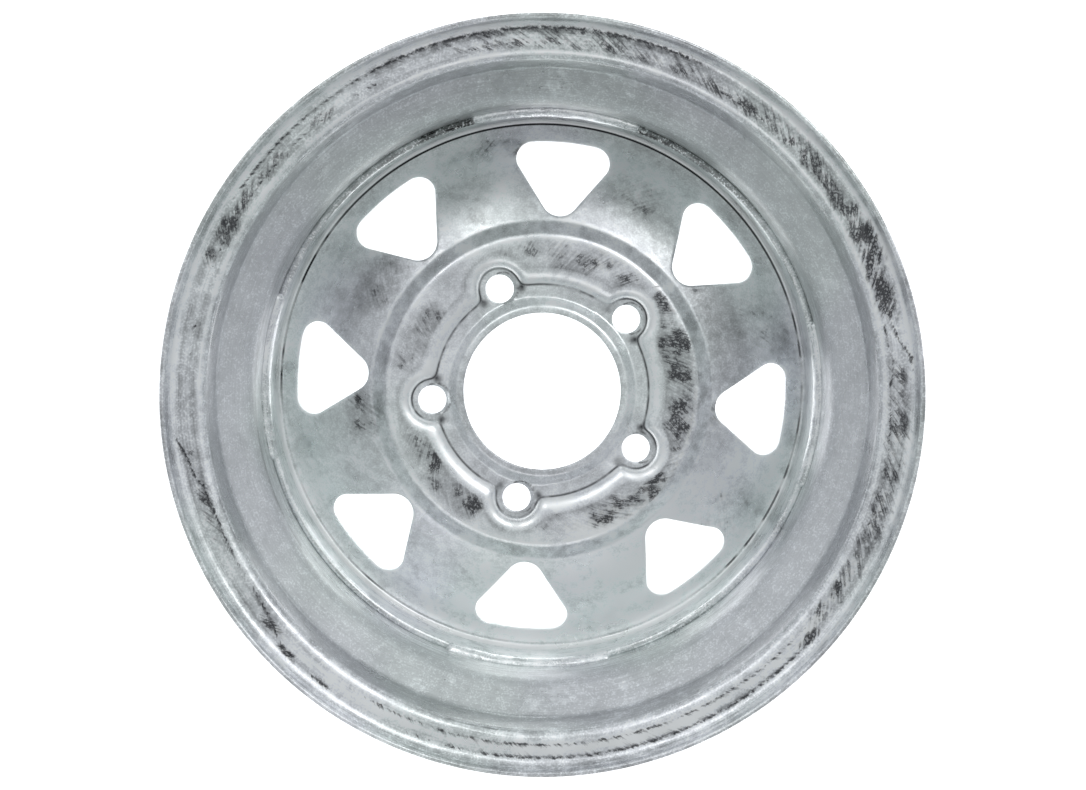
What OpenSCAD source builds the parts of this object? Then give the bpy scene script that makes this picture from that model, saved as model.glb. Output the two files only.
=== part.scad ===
// Galvanised steel trailer wheel: rolled drop-centre rim, stamped spoke disc and four weld beads.
// The wheel axis is Z. The inboard side, where the hub sits, looks up, and the wheel lies on its
// outboard flange. The origin is the middle of the wheel on the hub mounting plane.

/* [Rim] */
// Diameter of the bead seat at the heel of the flange
bead_seat_dia = 329.4; // [320:0.1:340]
// Distance between the two flanges, measured on the tyre side
rim_width = 114.3; // [105:0.1:127]
// Height of the flange above the bead seat
flange_height = 17.3; // [16:0.1:20]
// How far each flange reaches beyond its tyre side face
flange_reach = 11.4; // [10:0.1:14]
// Radius of the flange curl on the tyre side
flange_curl_r = 8.5; // [6:0.1:9.5]
// Radius at the heel between the bead seat and the flange
heel_r = 3.5; // [2.5:0.1:6.5]
// Width of each bead seat
seat_width = 20; // [18:0.1:22]
// Slope of the bead seats towards the middle, in degrees
seat_taper = 5; // [3:0.1:6]
// Depth of the drop centre below the bead seat
well_depth = 17.2; // [15:0.1:19]
// Position of the inboard end of the drop centre along the axis
well_inboard_z = 22; // [16:0.1:26]
// Position of the outboard end of the drop centre along the axis
well_outboard_z = -29; // [-30:0.1:-24]
// Radius of the bends between the bead seats, the slopes and the drop centre
well_bend_r = 6; // [4:0.1:7]
// Thickness of the rim sheet
rim_t = 2.5; // [2:0.1:3]

/* [Valve hole] */
// Diameter of the hole for a snap-in valve
valve_hole_dia = 11.5; // [11.3:0.1:16]
// Angle of the valve hole around the wheel, in degrees
valve_angle = 17.5; // [0:0.5:360]

/* [Disc] */
// Thickness of the disc sheet
disc_t = 3.5; // [3:0.1:4]
// Gap all round between the disc flange and the drop centre
disc_fit = 0.1; // [0.05:0.01:0.3]
// Position of the edge of the disc flange along the axis
flange_edge_z = -7.5; // [-12:0.1:-3]
// Position of the bottom of the groove between the flange and the spokes
groove_z = -38; // [-40:0.1:-34]
// Bend radius in the groove
groove_r = 2.5; // [1.5:0.1:4]
// How far the bend in the spokes stands out from a straight slope
spoke_bow = 5; // [2:0.1:6]
// Bend radius along the spokes
spoke_bow_r = 120; // [100:1:130]
// Radial width of the step between the spokes and the hub ring
step_width = 7; // [5:0.1:8.5]
// Depth of the foot of the step below the hub ring
step_depth = 6; // [4:0.1:7]
// Flat left on the hub ring between the lobes and the step
hub_land = 5.95; // [4:0.05:7.5]
// Bend radius at the foot of the step
step_foot_bend_r = 3; // [1.5:0.1:4]
// Bend radius at the outer edge of the hub ring
hub_edge_r = 5; // [4.2:0.1:6]

/* [Windows] */
// Number of windows between the spokes
windows = 8; // [6:1:8]
// Angle of the first window, in degrees
window_angle = -5.3; // [-20:0.1:20]
// Sheet left between the flange and the outer side of the windows
window_edge_gap = 11.4; // [9.5:0.1:16]
// How far inside the foot of the step the two straight sides would cross
window_apex_lead = 3.6; // [2.5:0.1:5.5]
// Half angle between the two straight sides, in degrees
window_half_angle = 36.3; // [33:0.1:38]
// Corner radius at the inner tip
window_tip_r = 9.8; // [9:0.1:11]
// Corner radius at the two outer corners
window_corner_r = 8.9; // [6:0.1:10]

/* [Hub] */
// Diameter of the centre bore
bore_dia = 81; // [78:0.1:84]
// Depth of the stud ring below the hub ring
hub_depth = 4.5; // [3:0.1:5]
// Radius of the foot of the wall round the stud ring
wall_foot_r = 55.3; // [54:0.1:57]
// Radial width of the rounded wall round the stud ring
wall_width = 8.8; // [7:0.1:9.5]
// Radius of the crease between the stud ring and the bore lip
lip_crease_r = 48.6; // [47.8:0.1:49]
// Angle at which the bore lip turns up, in degrees
lip_angle = 40; // [35:1:42]
// How far the top of the bore lip stays below the hub ring
lip_drop = 0.6; // [0.3:0.1:1.2]

/* [Studs] */
// Number of stud holes
studs = 5; // [4:1:5]
// Diameter of the circle through the stud holes
stud_pcd = 114.3; // [112:0.1:115]
// Angle of the first stud hole, in degrees
stud_angle = 40.5; // [0:0.5:71.5]
// Diameter of the stud holes
stud_hole_dia = 14.5; // [13:0.1:15.5]
// Radius of the foot of the lobe round each stud hole
lobe_foot_r = 10.6; // [10:0.1:11.5]
// Width of the rounded wall of each lobe
lobe_wall_width = 6.8; // [5.5:0.1:7.5]
// How far the floor of each lobe is coined below the stud ring
coin_depth = 0.4; // [0.2:0.1:0.8]
// Largest diameter of the cone for the wheel nut on the outboard side
nut_cone_dia = 16.2; // [15.8:0.1:16.8]

/* [Weld beads] */
// Number of weld beads
beads = 4; // [1:1:6]
// Angle at the start of the first bead, in degrees
bead_start = 69.5; // [0:0.5:90]
// Length of each bead round the wheel, in degrees
bead_sweep = 35; // [15:0.5:50]
// Leg of the bead on the rim and on the edge of the disc
bead_leg = 4.6; // [3.5:0.1:5]

/* [Hidden] */
$fn = 180;
// Largest angle between two points of a bend, of a round edge and of its outboard side
bend_step = 10;
edge_step = 15;
under_step = 30;

zinc = [0.72, 0.75, 0.76];
zinc_dull = [0.66, 0.69, 0.70];
zinc_rough = [0.62, 0.64, 0.65];

// Rim section on its tyre side, from the inboard lip to the outboard lip, as radius and height
seat_r = bead_seat_dia / 2;
lip_r = seat_r + flange_height;
face_z = rim_width / 2;
lip_z = face_z + flange_reach;
seat_end_r = seat_r - seat_width * tan(seat_taper);
seat_end_z = face_z - seat_width;
well_r = seat_r - well_depth;
well_in_r = well_r - rim_t;
rim_path = [
    [lip_r, lip_z - rim_t / 2],
    [lip_r, face_z],
    [seat_r, face_z],
    [seat_end_r, seat_end_z],
    [well_r, well_inboard_z],
    [well_r, well_outboard_z],
    [seat_end_r, -seat_end_z],
    [seat_r, -face_z],
    [lip_r, -face_z],
    [lip_r, -lip_z + rim_t / 2]
];
rim_bends = [0, flange_curl_r, heel_r, well_bend_r, well_bend_r,
             well_bend_r, well_bend_r, heel_r, flange_curl_r, 0];

// Valve hole, square to the slope between the drop centre and the outboard bead seat
slope_mid = ([well_r, well_outboard_z] + [seat_end_r, -seat_end_z]) / 2;
slope_turn = atan2(well_outboard_z + seat_end_z, seat_end_r - well_r);

// Disc section on its inboard side, from the edge of the flange to the hub ring
disc_out_r = well_in_r - disc_fit;
disc_in_r = disc_out_r - disc_t;
wall_top_r = wall_foot_r + wall_width;
lobe_top_r = lobe_foot_r + lobe_wall_width;
stud_r = stud_pcd / 2;
hub_ring_r = stud_r + lobe_top_r + hub_land;
step_foot_r = hub_ring_r + step_width;
groove_corner = [disc_in_r, groove_z];
step_foot = [step_foot_r, -step_depth];
spoke_bend = (groove_corner + step_foot) / 2 - left_of(along(groove_corner, step_foot)) * spoke_bow;
disc_path = [
    [disc_in_r, flange_edge_z],
    groove_corner,
    spoke_bend,
    step_foot,
    [hub_ring_r, 0],
    [wall_top_r, 0]
];
disc_bends = [0, groove_r, spoke_bow_r, step_foot_bend_r, hub_edge_r, 0];

// Radius of a round edge that falls by a depth over a width
function edge_r(width, depth) = (width * width + depth * depth) / (2 * depth);
// How far the first point of a round edge reaches into the flat face beside it
edge_lead = 0.5;
// Height to which the hollows are open above the hub ring
hollow_top = 5;
lobe_depth = hub_depth + coin_depth;
// Width of the round edges on the outboard side
function under_reach(r, depth) = depth < r ? sqrt(2 * r * depth - depth * depth) : r;
under_width = under_reach(edge_r(wall_width, hub_depth) - disc_t, hub_depth);
lobe_under_width = under_reach(edge_r(lobe_wall_width, lobe_depth) - disc_t, lobe_depth);

bore_r = bore_dia / 2;
floor_z = -hub_depth;
under_z = floor_z - disc_t;

// Window outline: the tip and the corners as arcs that touch the straight sides
window_outer_r = disc_in_r - window_edge_gap;
window_apex_r = step_foot_r - window_apex_lead;
tip_x = window_apex_r + window_tip_r / sin(window_half_angle);
corner_reach = window_outer_r - window_corner_r;
// Distance from the axis to the line that lies a corner radius inside each straight side
corner_line = window_apex_r * sin(window_half_angle) + window_corner_r;
corner_turn = window_half_angle - asin(corner_line / corner_reach);
corner_x = corner_reach * cos(corner_turn);
corner_y = corner_reach * sin(corner_turn);

// Direction along a straight stretch of a section
function along(a, b) = (b - a) / norm(b - a);
// Direction to the left of another one
function left_of(u) = [-u[1], u[0]];
// Which way a section turns, 1 to the left and -1 to the right
function turn_side(u, v) = sign(u[0] * v[1] - u[1] * v[0]);
// Half of the angle by which a section turns
function half_turn(u, v) = acos(max(-1, min(1, u * v))) / 2;
// Length taken from each side of a corner by its bend
function bend_reach(path, radii, i) =
    i == 0 || i == len(path) - 1 ? 0
    : radii[i] * tan(half_turn(along(path[i - 1], path[i]), along(path[i], path[i + 1])));

// Points of one bend, moved to the left of the path by a distance
function bend_points(path, radii, i, out) =
    let (u = along(path[i - 1], path[i]))
    let (v = along(path[i], path[i + 1]))
    let (side = turn_side(u, v))
    let (middle = path[i] - u * bend_reach(path, radii, i) + left_of(u) * side * radii[i])
    let (first = -left_of(u) * side)
    arc_points(middle, radii[i] - side * out, atan2(first[1], first[0]), side * 2 * half_turn(u, v));
// Points along an arc, one about every few degrees
function arc_points(middle, r, start, sweep, step = bend_step) =
    let (steps = max(2, ceil(abs(sweep) / step)))
    [for (k = [0 : steps]) middle + r * [cos(start + sweep * k / steps), sin(start + sweep * k / steps)]];
// One side of a bent sheet, at a distance to the left of its path
function sheet_side(path, radii, out) =
    let (last = len(path) - 1)
    concat(
        [path[0] + left_of(along(path[0], path[1])) * out],
        [for (i = [1 : last - 1]) each bend_points(path, radii, i, out)],
        [path[last] + left_of(along(path[last - 1], path[last])) * out]
    );
// The same points in the opposite order
function reversed(points) = [for (i = [len(points) - 1 : -1 : 0]) points[i]];

// Rolled rim with its valve hole
module rim() {
    color(zinc)
    difference() {
        rotate_extrude()
            rim_section();
        rotate([0, 0, valve_angle])
            translate([slope_mid[0], 0, slope_mid[1]])
                rotate([0, slope_turn, 0])
                    cylinder(d = valve_hole_dia, h = 8 * rim_t, center = true);
    }
}

// Rim sheet in section with round lips
module rim_section() {
    lip_mid = [lip_r - rim_t / 2, lip_z - rim_t / 2];
    polygon(concat(
        sheet_side(rim_path, rim_bends, 0),
        arc_points([lip_mid[0], -lip_mid[1]], rim_t / 2, 0, -180),
        reversed(sheet_side(rim_path, rim_bends, -rim_t)),
        arc_points(lip_mid, rim_t / 2, 180, -180)
    ));
}

// Outline of one window, with its middle on the X axis
module window_outline() {
    corner_sweep = 90 + window_half_angle - corner_turn;
    polygon(concat(
        arc_points([tip_x, 0], window_tip_r, 90 + window_half_angle, 180 - 2 * window_half_angle),
        arc_points([corner_x, -corner_y], window_corner_r, 270 - window_half_angle, corner_sweep),
        arc_points([0, 0], window_outer_r, -corner_turn, 2 * corner_turn, 2),
        arc_points([corner_x, corner_y], window_corner_r, corner_turn, corner_sweep)
    ));
}

// Points of a round edge on the inboard side, from its top to its foot.
// The first point stands just clear of the hub ring, so that the edge runs out smoothly.
function edge_points(top_r, depth, width) =
    let (r = edge_r(width, depth))
    concat(
        [[top_r + edge_lead, edge_lead / 8]],
        [for (p = arc_points([top_r, -r], r, 90, 90 - asin((r - depth) / r), edge_step)) if (p[0] < top_r - 0.1) p]
    );
// Points of the same edge on the outboard side, from just inside the sheet to the lower face
function under_points(top_r, depth, width) =
    let (r = edge_r(width, depth) - disc_t)
    let (rise = max(0, 1 - (depth / r)))
    concat(
        [[top_r + edge_lead, -disc_t + edge_lead / 8]],
        [for (p = arc_points([top_r, -disc_t - r], r, 90, 90 - asin(rise), under_step)) if (p[0] < top_r - 0.1) p]
    );

// Disc in section before the stud ring is sunk into it
module disc_section() {
    slant = disc_t / cos(lip_angle);
    rise = (lip_crease_r - bore_r) * tan(lip_angle);
    bend = disc_t * tan(lip_angle / 2);
    polygon(concat(
        sheet_side(disc_path, disc_bends, 0),
        [
            [bore_r, 0],
            [bore_r, floor_z + rise - slant],
            [lip_crease_r - bend, under_z],
            [wall_top_r - under_width, under_z]
        ],
        reversed([for (p = under_points(wall_top_r, hub_depth, wall_width)) if (p[0] < wall_top_r) p]),
        reversed(sheet_side(disc_path, disc_bends, disc_t))
    ));
}

// Section of the hollow above the stud ring and the bore lip, from the axis to the top of its wall
module ring_hollow_section() {
    polygon(concat(
        [[0, hollow_top], [wall_top_r + edge_lead, hollow_top]],
        edge_points(wall_top_r, hub_depth, wall_width),
        [
            [wall_foot_r, floor_z],
            [lip_crease_r, floor_z],
            [lip_crease_r - (hub_depth - lip_drop) / tan(lip_angle), -lip_drop],
            [0, -lip_drop]
        ]
    ));
}

// Section of the hollow above one lobe, about the middle of its stud hole
module lobe_hollow_section() {
    polygon(concat(
        [[0, hollow_top], [lobe_top_r + edge_lead, hollow_top]],
        edge_points(lobe_top_r, lobe_depth, lobe_wall_width),
        [[lobe_foot_r, -lobe_depth], [0, -lobe_depth]]
    ));
}

// Section of the bulge under one lobe, from inside the hub ring's sheet
module lobe_bulge_section() {
    polygon(concat(
        [[0, -disc_t / 2], [lobe_top_r + edge_lead, -disc_t / 2]],
        under_points(lobe_top_r, lobe_depth, lobe_wall_width),
        [
            [lobe_top_r - lobe_under_width, -lobe_depth - disc_t],
            [0, -lobe_depth - disc_t]
        ]
    ));
}

// Everything outside the crease of the bore lip
module outside_lip() {
    difference() {
        cylinder(r = hub_ring_r, h = lip_z, center = true);
        cylinder(r = lip_crease_r, h = 2 * lip_z, center = true);
    }
}

// Places a shape at every stud hole
module at_studs() {
    for (i = [0 : studs - 1])
        rotate([0, 0, stud_angle + i * 360 / studs])
            translate([stud_r, 0, 0])
                children();
}

// Stamped disc
module disc() {
    color(zinc_dull)
    difference() {
        union() {
            rotate_extrude()
                disc_section();
            intersection() {
                at_studs()
                    rotate_extrude()
                        lobe_bulge_section();
                outside_lip();
            }
        }
        rotate_extrude()
            ring_hollow_section();
        intersection() {
            at_studs()
                rotate_extrude()
                    lobe_hollow_section();
            outside_lip();
        }
        at_studs()
            stud_hole();
        for (i = [0 : windows - 1])
            rotate([0, 0, window_angle + i * 360 / windows])
                translate([0, 0, -lip_z])
                    linear_extrude(height = lip_z)
                        window_outline();
    }
}

// Stud hole with the cone for the wheel nut on its outboard side
module stud_hole() {
    cone_h = (nut_cone_dia - stud_hole_dia) / 2 / tan(30);
    cylinder(d = stud_hole_dia, h = lip_z, center = true);
    translate([0, 0, -lobe_depth - disc_t - 1])
        cylinder(d1 = nut_cone_dia + 2 * tan(30), d2 = stud_hole_dia, h = cone_h + 1);
}

// Four weld beads in the corner between the edge of the disc flange and the rim
module weld_beads() {
    color(zinc_rough)
    for (i = [0 : beads - 1])
        rotate([0, 0, bead_start + i * 360 / beads])
            rotate_extrude(angle = bead_sweep)
                translate([well_in_r, flange_edge_z])
                    intersection() {
                        circle(r = bead_leg, $fn = 48);
                        translate([-bead_leg, 0])
                            square([bead_leg, bead_leg]);
                    }
}

rim();
disc();
weld_beads();
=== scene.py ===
import math
import bpy
import numpy as np
from mathutils import Matrix, Vector, noise
from mathutils.geometry import delaunay_2d_cdt


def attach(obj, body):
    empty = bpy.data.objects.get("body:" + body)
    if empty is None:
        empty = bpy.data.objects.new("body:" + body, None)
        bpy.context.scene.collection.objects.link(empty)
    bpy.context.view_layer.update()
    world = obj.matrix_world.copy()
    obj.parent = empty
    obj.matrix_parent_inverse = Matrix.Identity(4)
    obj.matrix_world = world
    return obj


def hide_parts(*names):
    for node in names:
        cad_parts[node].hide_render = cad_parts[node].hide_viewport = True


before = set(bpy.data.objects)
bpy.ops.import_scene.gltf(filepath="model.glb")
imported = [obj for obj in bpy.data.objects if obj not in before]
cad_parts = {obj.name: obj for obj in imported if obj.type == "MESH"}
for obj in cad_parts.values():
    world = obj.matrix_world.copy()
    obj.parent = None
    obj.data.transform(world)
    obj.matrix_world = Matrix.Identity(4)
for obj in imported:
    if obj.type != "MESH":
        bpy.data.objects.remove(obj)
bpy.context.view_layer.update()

# Galvanised steel wheel, lying on its outboard flange with the hub side up.
# Sizes are in millimetres, and the meshes are made in metres.
MM = 0.001

# Sizes of the rim
LIP_R = 182.0
LIP_Z = 68.55
FACE_Z = 57.15
SEAT_R = 164.7
SEAT_TOE_R = 162.95
SEAT_TOE_Z = 37.15
WELL_R = 145.0
WELL_TOP_Z = 22
WELL_FOOT_Z = -29
RIM_T = 2.5
LIP_END_Z = LIP_Z - RIM_T / 2
RIM_PATH = [(LIP_R, LIP_END_Z), (LIP_R, FACE_Z), (SEAT_R, FACE_Z), (SEAT_TOE_R, SEAT_TOE_Z),
            (WELL_R + RIM_T, WELL_TOP_Z), (WELL_R + RIM_T, WELL_FOOT_Z), (SEAT_TOE_R, -SEAT_TOE_Z),
            (SEAT_R, -FACE_Z), (LIP_R, -FACE_Z), (LIP_R, -LIP_END_Z)]
HALF_BENDS = [0, 8.5, 3.5, 6, 10]
RIM_BENDS = HALF_BENDS + HALF_BENDS[::-1]
RIM_STEPS = 440
RIM_SWAY = 0.10
# Below this height the hub side of the rim is out of sight from above
HIDDEN_Z = -20
VALVE_AT = (147.49, 46.5, -34.18)
VALVE_WAY = (0.445, 0.14031, 0.8845)
VALVE_R = 5.75
VALVE_STEPS = 64

# Sizes of the disc
DISC_T = 3.5
FLANGE_R = 141.4
FLANGE_EDGE_Z = -7.5
GROOVE_Z = -38
STEP_R = 87.5
STEP_Z = -6
PAD_R = 80.5
WALL_FOOT_R = 55.3
WALL_WIDTH = 8.8
SPOKE_BOW = 5
SPOKE_RUN = math.hypot(FLANGE_R - STEP_R, STEP_Z - GROOVE_Z)
SPOKE_BEND = ((FLANGE_R + STEP_R) / 2 + SPOKE_BOW * (STEP_Z - GROOVE_Z) / SPOKE_RUN,
              (GROOVE_Z + STEP_Z) / 2 + SPOKE_BOW * (FLANGE_R - STEP_R) / SPOKE_RUN)
DISC_PATH = [(FLANGE_R, FLANGE_EDGE_Z), (FLANGE_R, GROOVE_Z), SPOKE_BEND, (STEP_R, STEP_Z), (PAD_R, 0),
             (WALL_FOOT_R + WALL_WIDTH, 0)]
DISC_BENDS = [0, 1.7, 120, 3, 5, 0]
DISC_SWAY = 0.12
BORE_R = 40.5
HUB_DEPTH = 4.5
LIP_CREASE_R = 48.6
LIP_LEAN = math.radians(40)
LIP_SLOPE = math.tan(LIP_LEAN)
LIP_DROP = 0.6
STUD_R = 57.15
STUD_HOLE_R = 7.25
STUD_ANGLES = [40.5 + 72 * i for i in range(5)]
LOBE_FOOT_R = 10.6
LOBE_WIDTH = 6.8
COIN_DEPTH = 0.4
PAD_HALF = 14.0
PAD_EDGE = 1.1
BEVEL_WIDTH = 2.2
BEVEL_FALL = 0.75
BEVEL_TURN = math.radians(12)
BEVEL_REACH = 3.5
LIP_ROUND = 0.45
CREASE_ROUND = 0.16
WINDOW_ANGLES = [-5.3 + 45 * i for i in range(8)]
WINDOW_OUTER_R = 130.0
WINDOW_APEX_R = 83.9
WINDOW_HALF = math.radians(36.3)
WINDOW_TIP_R = 9.8
WINDOW_CORNER_R = 8.9
WINDOW_REACH = 32
WINDOW_STEP = 1.4
# Radius at which the open face of the disc gives way to the groove and the flange
FACE_END_R = 136.0
CONE_END_R = 135
BEYOND_R = 150.0
FLANGE_STEPS = 420
FLANGE_ROWS = 36
FLANGE_ROUND = 0.7
FLANGE_CORNER = 0.12
# The wall of the stud ring blends into its lobes over this distance
SOFT = 1.6

# Lines of the disc's mesh: steps round the bore and the stud holes, then radii and shares of the wall
BORE_STEPS = 300
STUD_STEPS = 96
HOLE_REACH = 45
THIN_CELL = 0.28
LIP_LINES = (43.4, 43.9, 44.4, 45.2, 46.4, 47.5, 48.3)
FLOOR_LINES = (48.9, 49.7, 51.0, 52.4)
WALL_LEVELS = (-0.3, -0.12, -0.04, 0, 0.03, 0.08, 0.15, 0.24, 0.34, 0.45, 0.57, 0.7, 0.83, 0.93, 1, 1.12)
HUB_LINES = [66.5, 69, 71.5, 74, 76.2, 77.6, 78.4, 79, 79.6, 80.2, 80.8, 81.4, 82, 82.6, 83.6, 84.6,
             85.4, 86, 86.6, 87.2, 87.8, 88.4, 89, 89.8]
SPOKE_LINES = list(np.arange(91.4, FACE_END_R - 0.5, 1.9))

# Sizes of the weld beads
BEAD_STARTS = [69.5, 159.5, 249.5, 339.5]
BEAD_SWEEP = 35.0
BEAD_LEG = 4.6
BEAD_END = 3.2
BEAD_STEPS = 230
BEAD_ARC = 13


# Bent sheet in section
def bend_points(path, radii, i, out, step):
    a, b, c = (np.array(path[k], float) for k in (i - 1, i, i + 1))
    u = (b - a) / np.linalg.norm(b - a)
    v = (c - b) / np.linalg.norm(c - b)
    side = np.sign(u[0] * v[1] - u[1] * v[0])
    half = math.acos(max(-1.0, min(1.0, float(u @ v)))) / 2
    left = np.array([-u[1], u[0]])
    middle = b - u * radii[i] * math.tan(half) + left * side * radii[i]
    start = math.atan2(*(-left * side)[::-1])
    n = max(2, math.ceil(math.degrees(2 * half) / step))
    r = radii[i] - side * out
    turns = [start + side * 2 * half * k / n for k in range(n + 1)]
    return [tuple(middle + r * np.array([math.cos(t), math.sin(t)])) for t in turns]


def sheet_side(path, radii, out, step=6):
    pts = []
    for i in range(len(path)):
        if 0 < i < len(path) - 1:
            pts += bend_points(path, radii, i, out, step)
        else:
            a, b = (path[0], path[1]) if i == 0 else (path[-2], path[-1])
            u = np.subtract(b, a) / np.linalg.norm(np.subtract(b, a))
            pts.append(tuple(np.array(path[i]) + np.array([-u[1], u[0]]) * out))
    return pts


def spaced(points, gap):
    out = [points[0]]
    for a, b in zip(points, points[1:]):
        n = max(1, math.ceil(math.dist(a, b) / gap))
        out += [(a[0] + (b[0] - a[0]) * k / n, a[1] + (b[1] - a[1]) * k / n) for k in range(1, n + 1)]
    return out


def polar(r, degrees):
    turn = math.radians(degrees)
    return r * math.cos(turn), r * math.sin(turn)


def half_round(middle, r, start, sweep, n):
    turns = [polar(r, start + sweep * k / n) for k in range(n + 1)]
    return [(middle[0] + x, middle[1] + y) for x, y in turns]


def circle(r, n, cx=0.0, cy=0.0, start=0.0):
    a = start + np.arange(n) * 2 * math.pi / n
    return np.stack([cx + r * np.cos(a), cy + r * np.sin(a)], axis=-1)


def unevenness(x, y, z, seed, wave, count=10):
    """Slow waves over the sheet, from about -1 to 1, as rolled and stamped metal has them."""
    rng = np.random.default_rng(seed)
    total = np.zeros_like(x)
    for _ in range(count):
        way = rng.normal(size=3)
        way *= 2 * math.pi / (wave * rng.uniform(0.7, 1.6)) / np.linalg.norm(way)
        total += np.sin(way[0] * x + way[1] * y + way[2] * z + rng.uniform(0, 6.28))
    return total / (count ** 0.5 * 1.6)


def add_object(name, data):
    thing = bpy.data.objects.new(name, data)
    bpy.context.scene.collection.objects.link(thing)
    return thing


def new_piece(name, verts, faces):
    mesh = bpy.data.meshes.new(name)
    mesh.from_pydata([tuple(v) for v in np.asarray(verts) * MM], [], faces)
    mesh.validate()
    mesh.shade_smooth()
    return add_object(name, mesh)


def quads(base, rings, row, closed=False):
    """Faces between rings of points, each joined to the next one."""
    faces = []
    for i in range(rings if closed else rings - 1):
        p, q = base + i * row, base + (i + 1) % rings * row
        faces += [(p + k, p + (k + 1) % row, q + (k + 1) % row, q + k) for k in range(row)]
    return faces


def hand_over(piece, node):
    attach(piece, "root")
    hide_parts(node)


def vertex_values(piece, key):
    values = np.empty(len(piece.data.vertices) * 3)
    piece.data.vertices.foreach_get(key, values)
    return values.reshape(-1, 3)


def places(piece):
    """Place of each vertex in mm, its distance from the axis and its angle in degrees."""
    x, y, z = vertex_values(piece, "co").T / MM
    return x, y, z, np.hypot(x, y), np.degrees(np.arctan2(y, x)) % 360


def paint(piece, name, values, low=0.0, high=1.0):
    layer = piece.data.attributes.new(name, "FLOAT", "POINT")
    layer.data.foreach_set("value", np.clip(values, low, high).astype(np.float32))


def track(at, points):
    """Value at each place, from points given as place and value."""
    return np.interp(at, list(points), list(points.values()))


def band(value, middle, half, power=2):
    """A soft band, 1 in its middle; a higher power gives it a flatter top."""
    return np.exp(-((value - middle) / half) ** power)


def turned_from(angle, start):
    return (angle - start + 180) % 360 - 180


def patches(angle, radius, spots):
    """Where the zinc is rubbed: each spot is angle, radius, half width in degrees, half depth, strength."""
    total = np.zeros_like(angle)
    for a, r, wide, deep, strength in spots:
        spot = band(turned_from(angle, a), 0, 1.35 * wide, 4) * band(radius, r, 1.3 * deep, 4)
        total = np.maximum(total, strength * spot)
    return total


def shades(angle, radius, spots):
    """Soft painted light and shade added up: each spot is angle, radius, half width in degrees, half depth,
    tone.
    """
    total = np.zeros_like(angle)
    for a, r, wide, deep, tone in spots:
        total += tone * band(turned_from(angle, a), 0, wide) * band(radius, r, deep, 4)
    return total


# Rim
def make_rim():
    tyre_side = sheet_side(RIM_PATH, RIM_BENDS, 0, 16)
    hub_side = sheet_side(RIM_PATH, RIM_BENDS, -RIM_T, 6)
    lip = (LIP_R - RIM_T / 2, LIP_END_Z)
    # points lie closer together where the hub side is seen from above
    hidden = next(i for i, p in enumerate(hub_side) if p[1] < HIDDEN_Z)
    loop = spaced(tyre_side, 9) + half_round((lip[0], -lip[1]), RIM_T / 2, 0, -180, 8)[1:-1]
    loop += spaced(hub_side[hidden - 1:][::-1], 4)[:-1] + spaced(hub_side[:hidden][::-1], 1.3)
    loop += half_round(lip, RIM_T / 2, 180, -180, 8)[1:-1]
    turn = np.arange(RIM_STEPS)[:, None] * 2 * math.pi / RIM_STEPS
    r, z = (np.tile(values, (RIM_STEPS, 1)) for values in np.array(loop).T)
    sway = unevenness(r * np.cos(turn), r * np.sin(turn), z, 3, 90)
    r = r - RIM_SWAY - RIM_SWAY * sway * np.clip((LIP_R - r) / 2 + 0.4, 0.4, 1)
    verts = np.stack([r * np.cos(turn), r * np.sin(turn), z], axis=-1).reshape(-1, 3)
    rim = new_piece("rolled_rim", verts, quads(0, RIM_STEPS, len(loop), closed=True))
    drill_valve_hole(rim)
    hand_over(rim, "rim")
    return rim


def drill_valve_hole(rim):
    """The valve hole is drilled square to the outboard slope."""
    turn_to = Vector(VALVE_WAY).normalized().to_track_quat("Z", "Y").to_matrix()
    drill = []
    for height in (-8, 8):
        for x, y in circle(VALVE_R, VALVE_STEPS):
            drill.append(turn_to @ Vector((x, y, height)) + Vector(VALVE_AT))
    ring = range(VALVE_STEPS)
    ends = [tuple(ring)[::-1], tuple(VALVE_STEPS + k for k in ring)]
    bit = new_piece("valve_drill", drill, ends + quads(0, 2, VALVE_STEPS))
    cut = rim.modifiers.new("valve_hole", "BOOLEAN")
    cut.operation = "DIFFERENCE"
    cut.solver = "EXACT"
    cut.object = bit
    drilled = bpy.data.meshes.new_from_object(rim.evaluated_get(bpy.context.evaluated_depsgraph_get()))
    rim.modifiers.clear()
    rim.data = drilled
    bpy.data.objects.remove(bit)


# Disc
def window_outline(k, out):
    """Outline of one window, moved outwards by a distance, as points in order."""
    ta = WINDOW_HALF
    tip = WINDOW_APEX_R + WINDOW_TIP_R / math.sin(ta)
    reach = WINDOW_OUTER_R - WINDOW_CORNER_R
    turn = ta - math.asin((WINDOW_APEX_R * math.sin(ta) + WINDOW_CORNER_R) / reach)
    cx, cy = reach * math.cos(turn), reach * math.sin(turn)

    def arc(mx, my, r, start, sweep, n):
        return [(mx + r * math.cos(start + sweep * i / n), my + r * math.sin(start + sweep * i / n))
                for i in range(n + 1)]

    sweep = math.pi / 2 + ta - turn
    pts = arc(tip, 0, WINDOW_TIP_R + out, math.pi / 2 + ta, math.pi - 2 * ta, 18)
    pts += arc(cx, -cy, WINDOW_CORNER_R + out, 1.5 * math.pi - ta, sweep, 20)
    pts += arc(0, 0, WINDOW_OUTER_R + out, -turn, 2 * turn, 24)[1:-1]
    pts += arc(cx, cy, WINDOW_CORNER_R + out, turn, sweep, 20)
    c, s = polar(1, WINDOW_ANGLES[k])
    return [(x * c - y * s, x * s + y * c) for x, y in spaced(pts + pts[:1], WINDOW_STEP)[:-1]]


STUDS = [polar(STUD_R, a) for a in STUD_ANGLES]
WINDOW_EDGES = [np.array(window_outline(k, 0)) for k in range(len(WINDOW_ANGLES))]


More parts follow.
